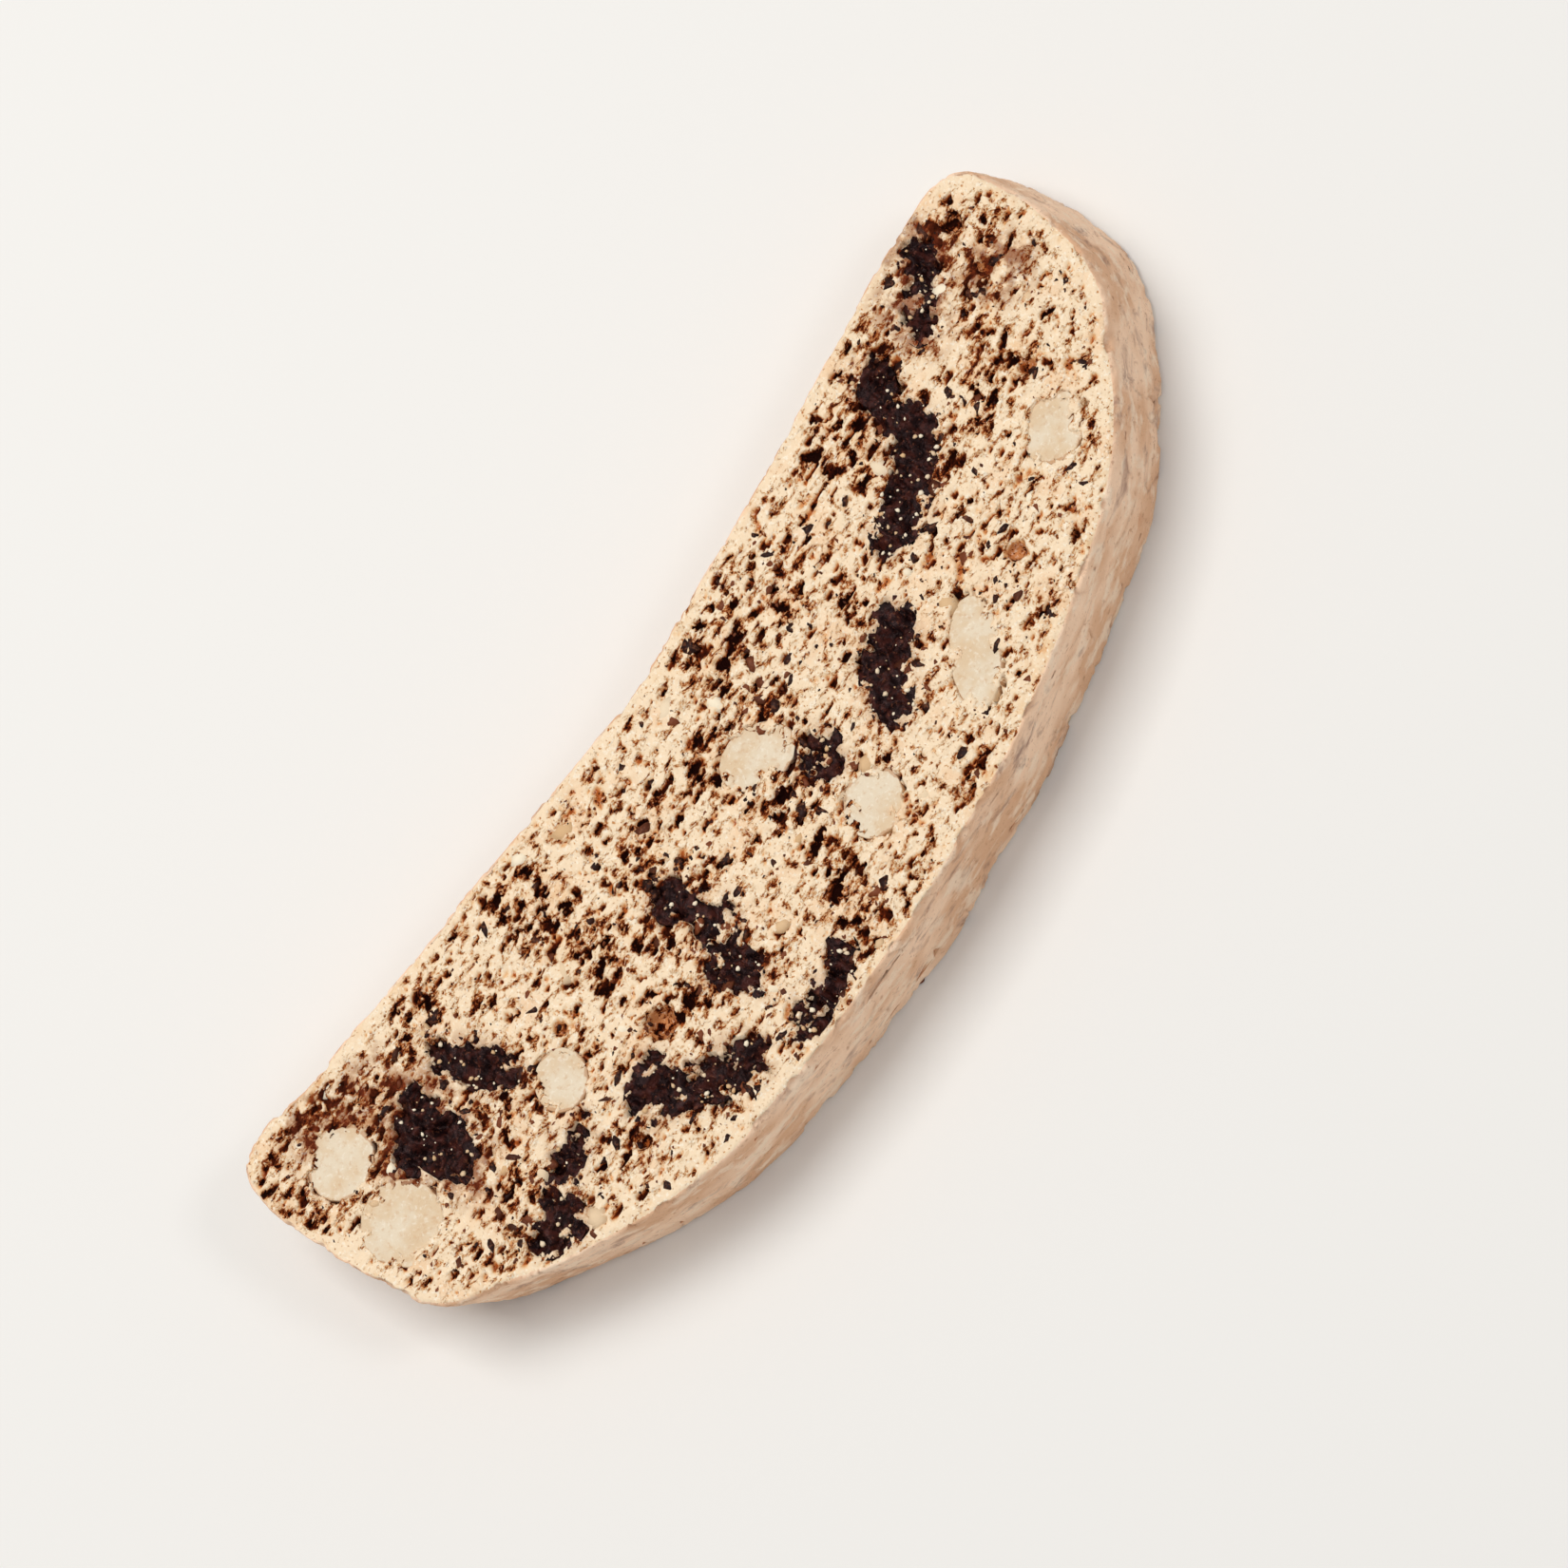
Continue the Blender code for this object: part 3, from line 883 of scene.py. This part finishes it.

# %% [markdown]
# ## Finish of the dough
#
# The dough has two looks in one finish, so that crumb and crust can meet in a soft line. `cut` says how
# far a point belongs to the knife's face. There a colour ramp goes from cream through orange-brown
# almost to black: pores brown on their inside as they bake, and the dark end is also painted shade in
# the pores. What moves along the ramp is the depth kept in `hollow`, fine specks that are closer where
# the crumb is `busy` and fewer at the `rim`, and a `smear` of melted chocolate. The specks are pores
# too small for the mesh, painted with their brown and their shade. The crust is floury, with pale
# flecks, greyish bruises and darker cracks.

# %% Baked dough
def dough_finish():
    f = Finish("baked_dough_finish")
    calm = f.plus(f.times(f.attribute("busy"), 0.055), f.times(f.attribute("rim"), -0.09))
    # specks: pores too small for the mesh, painted with their baked brown and their painted shade
    specks = f.straight(f.plus(f.noise(0.85, 5.0, 0.70, 0.3, long=1.6), calm), 0.53, 0.735)
    specks = f.plus(specks, f.between(f.noise(0.30, 2.0), 0.60, 0.72, 0.0, 0.32))
    blush = f.times(f.between(f.noise(1.7, 3.0, 0.6, long=1.4), 0.50, 0.68), f.attribute("busy"))
    # the sum moves along the ramp: baked browning and painted pore shade, with blush and smear
    toast_and_pore_shade = f.plus(f.plus(specks, f.times(blush, 0.13)), f.attribute("hollow"))
    smear = f.times(f.attribute("smear"), f.between(f.noise(1.5, 4.0, 0.6), 0.36, 0.62))
    toast_and_pore_shade = f.plus(toast_and_pore_shade, f.times(smear, 0.16))
    # the dark end of the ramp is painted shade inside the pores as well as baked colour
    crumb = f.steps(toast_and_pore_shade, [(0.00, colour(247, 223, 191)), (0.13, colour(240, 205, 163)),
                            (0.27, colour(224, 165, 110)), (0.41, colour(178, 94, 42)),
                            (0.57, colour(104, 38, 13)), (0.78, colour(32, 7, 3))])
    warm = f.times(f.between(f.noise(3.4, 3.0, 0.6), 0.50, 0.66), f.between(toast_and_pore_shade, 0.15, 0.40, 0.40, 0.0))
    crumb = f.blend(warm, crumb, colour(240, 192, 146))
    light_grain = f.between(f.noise(0.34, 3.0, 0.7), 0.55, 0.64)
    light_grain = f.times(light_grain, f.between(toast_and_pore_shade, 0.15, 0.55, 0.75, 0.0))
    crumb = f.blend(light_grain, crumb, colour(254, 243, 223))
    crumb = f.blend(f.times(smear, 0.75), crumb, colour(128, 56, 32))

    patches = f.between(f.noise(6.0, 3.0, long=1.8), 0.40, 0.60)
    crust = f.blend(patches, colour(255, 219, 188), colour(230, 184, 148))
    flour = f.times(f.between(f.noise(1.5, 4.0, 0.6, long=2.2), 0.48, 0.66), 0.75)
    crust = f.blend(flour, crust, colour(254, 230, 204))
    bruise = f.times(f.between(f.noise(2.6, 4.0, 0.65, 0.6, long=1.8), 0.52, 0.74), 0.80)
    crust = f.blend(bruise, crust, colour(152, 116, 104))
    flecks = f.times(f.between(f.noise(0.55, 3.0, long=1.5), 0.60, 0.72), 0.45)
    crust = f.blend(flecks, crust, colour(176, 120, 86))
    pricks = f.times(f.between(f.noise(0.26, 2.0), 0.64, 0.72), 0.35)
    crust = f.blend(pricks, crust, colour(140, 90, 64))
    crust = f.blend(f.times(f.attribute("cracked"), 0.5), crust, colour(176, 120, 84))

    edge = f.plus(f.attribute("cut"), f.times(f.noise(0.5, 2.0), 0.5))
    is_crumb = f.between(edge, 0.55, 0.80)
    base = f.blend(is_crumb, crust, crumb)
    torn = f.bump(f.times(f.times(toast_and_pore_shade, -1.0), is_crumb), 0.16)
    fine = f.bump(f.noise(0.28, 4.0, 0.7), 0.10, torn)
    powder = f.bump(f.noise(0.12, 2.0, 0.6), 0.03, fine)
    return f.finish(base, f.between(is_crumb, 0.0, 1.0, 0.78, 0.92), powder, specular=0.06)

# %% [markdown]
# ## Finish of chocolate, nut and crumbs
#
# Chocolate that was cut cold gleams only where a facet faces a lamp. A roughness that changes from
# place to place breaks the gleam up, and a reddish tint keeps it from looking like metal. Splinters are
# duller, and each has its own `tone`. Hazelnut is cream and slightly waxy, with fibres of darker and
# paler cream, and brown skin in patches along its edge.

# %% Chocolate, splinters, nut and crumbs
def chocolate_finish():
    f = Finish("chocolate_finish")
    base = f.blend(f.between(f.noise(0.9, 4.0, 0.6), 0.42, 0.66), colour(14, 3, 4), colour(60, 25, 19))
    base = f.blend(f.times(f.between(f.noise(0.35, 3.0), 0.58, 0.70), 0.5), base, colour(120, 70, 50))
    roughness = f.between(f.noise(0.6, 3.0), 0.38, 0.62, 0.13, 0.38)
    return f.finish(base, roughness, f.bump(f.noise(0.35, 4.0, 0.65), 0.10), specular=0.26,
                    gleam=(0.55, 0.36, 0.36, 1.0))


def splinter_finish():
    f = Finish("splinter_finish")
    base = f.blend(f.between(f.attribute("tone"), 0.45, 1.0), colour(40, 17, 13), colour(120, 62, 36))
    base = f.blend(f.times(f.between(f.noise(0.3, 2.0), 0.52, 0.66), 0.4), base, colour(140, 84, 54))
    return f.finish(base, 0.5, f.bump(f.noise(0.2, 3.0), 0.05), specular=0.15)


def nut_finish():
    f = Finish("hazelnut_finish")
    base = f.blend(f.between(f.noise(2.6, 3.0), 0.36, 0.64), colour(228, 212, 187), colour(220, 194, 160))
    darker = f.times(f.between(f.noise(0.5, 4.0, 0.65), 0.52, 0.70), 0.5)
    base = f.blend(darker, base, colour(206, 166, 126))
    paler = f.times(f.between(f.noise(0.4, 3.0, 0.6, 0.5), 0.54, 0.68), 0.45)
    base = f.blend(paler, base, colour(244, 235, 217))
    ragged = f.plus(f.attribute("skin"), f.between(f.noise(1.4, 3.0), 0.3, 0.7, -0.45, 0.35))
    base = f.blend(f.times(f.between(ragged, 0.70, 1.0), 0.65), base, colour(184, 132, 88))
    return f.finish(base, 0.55, f.bump(f.noise(0.5, 4.0, 0.65), 0.10), specular=0.2)


def crumb_finish():
    f = Finish("crumb_finish")
    base = f.blend(f.between(f.attribute("tone"), 0.2, 0.9), colour(246, 232, 206), colour(216, 178, 134))
    return f.finish(base, 0.9, f.bump(f.noise(0.15, 2.0), 0.04), specular=0.2)


def dress(pieces, material):
    for piece in pieces:
        piece.data.materials.clear()
        piece.data.materials.append(material)
        shade_smooth(piece)


# %% Give each piece its finish
dress([dough], dough_finish())
dress(chunks.values(), chocolate_finish())
dress(nuts.values(), nut_finish())
dress([splinter_piece], splinter_finish())
dress([nut_crumb_piece, crumb_piece], crumb_finish())
print("the finishes are", [made.name for made in bpy.data.materials if "finish" in made.name])

# %% [markdown]
# ## Attaching the pieces
#
# Nothing on a biscotto moves, so every piece rides on the one body. Each chunk and nut stands for its
# own imported solid. The dough is handed over in three bands, because one mesh this fine is too heavy
# for the file of its shape. A bisect with its fill closes each band. The flat fill is turned into
# triangles, and its border is marked sharp, so that the crust isn't shaded round the corner where
# two bands meet.

# %% Part the dough into three bands
BAND = 2.0                       # millimetres of crust that go with each cut face


def band_of_dough(name, bottom, top):
    band = bpy.data.objects.new(name, dough.data.copy())
    bpy.context.scene.collection.objects.link(band)
    pick(band)
    for height, keep_above in ((bottom, True), (top, False)):
        if height is None:
            continue
        bpy.ops.object.mode_set(mode="EDIT")
        bpy.ops.mesh.select_all(action="SELECT")
        bpy.ops.mesh.bisect(plane_co=(0, 0, height * MM), plane_no=(0, 0, 1), use_fill=True,
                            clear_inner=keep_above, clear_outer=not keep_above)
        bpy.ops.mesh.quads_convert_to_tris()
        bpy.ops.mesh.region_to_loop()
        bpy.ops.mesh.mark_sharp()
        bpy.ops.object.mode_set(mode="OBJECT")
    print(name, "has", sum(len(face.vertices) - 2 for face in band.data.polygons), "triangles")
    return band


bands = [
    band_of_dough("dough_upper_face", THICKNESS - BAND, None),
    band_of_dough("dough_crust_band", BAND, THICKNESS - BAND),
    band_of_dough("dough_lower_face", None, BAND),
]
bpy.data.objects.remove(dough)

# %% Attach each piece to the body, and hide the solid it stands for
def hand_over(piece, node=None):
    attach(piece, "root")
    if node:
        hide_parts(node)


for band in bands:
    hand_over(band, "dough_slice")
for node, chunk in chunks.items():
    hand_over(chunk, node)
for node, nut in nuts.items():
    hand_over(nut, node)
hand_over(splinter_piece)
hand_over(nut_crumb_piece)
hand_over(crumb_piece)
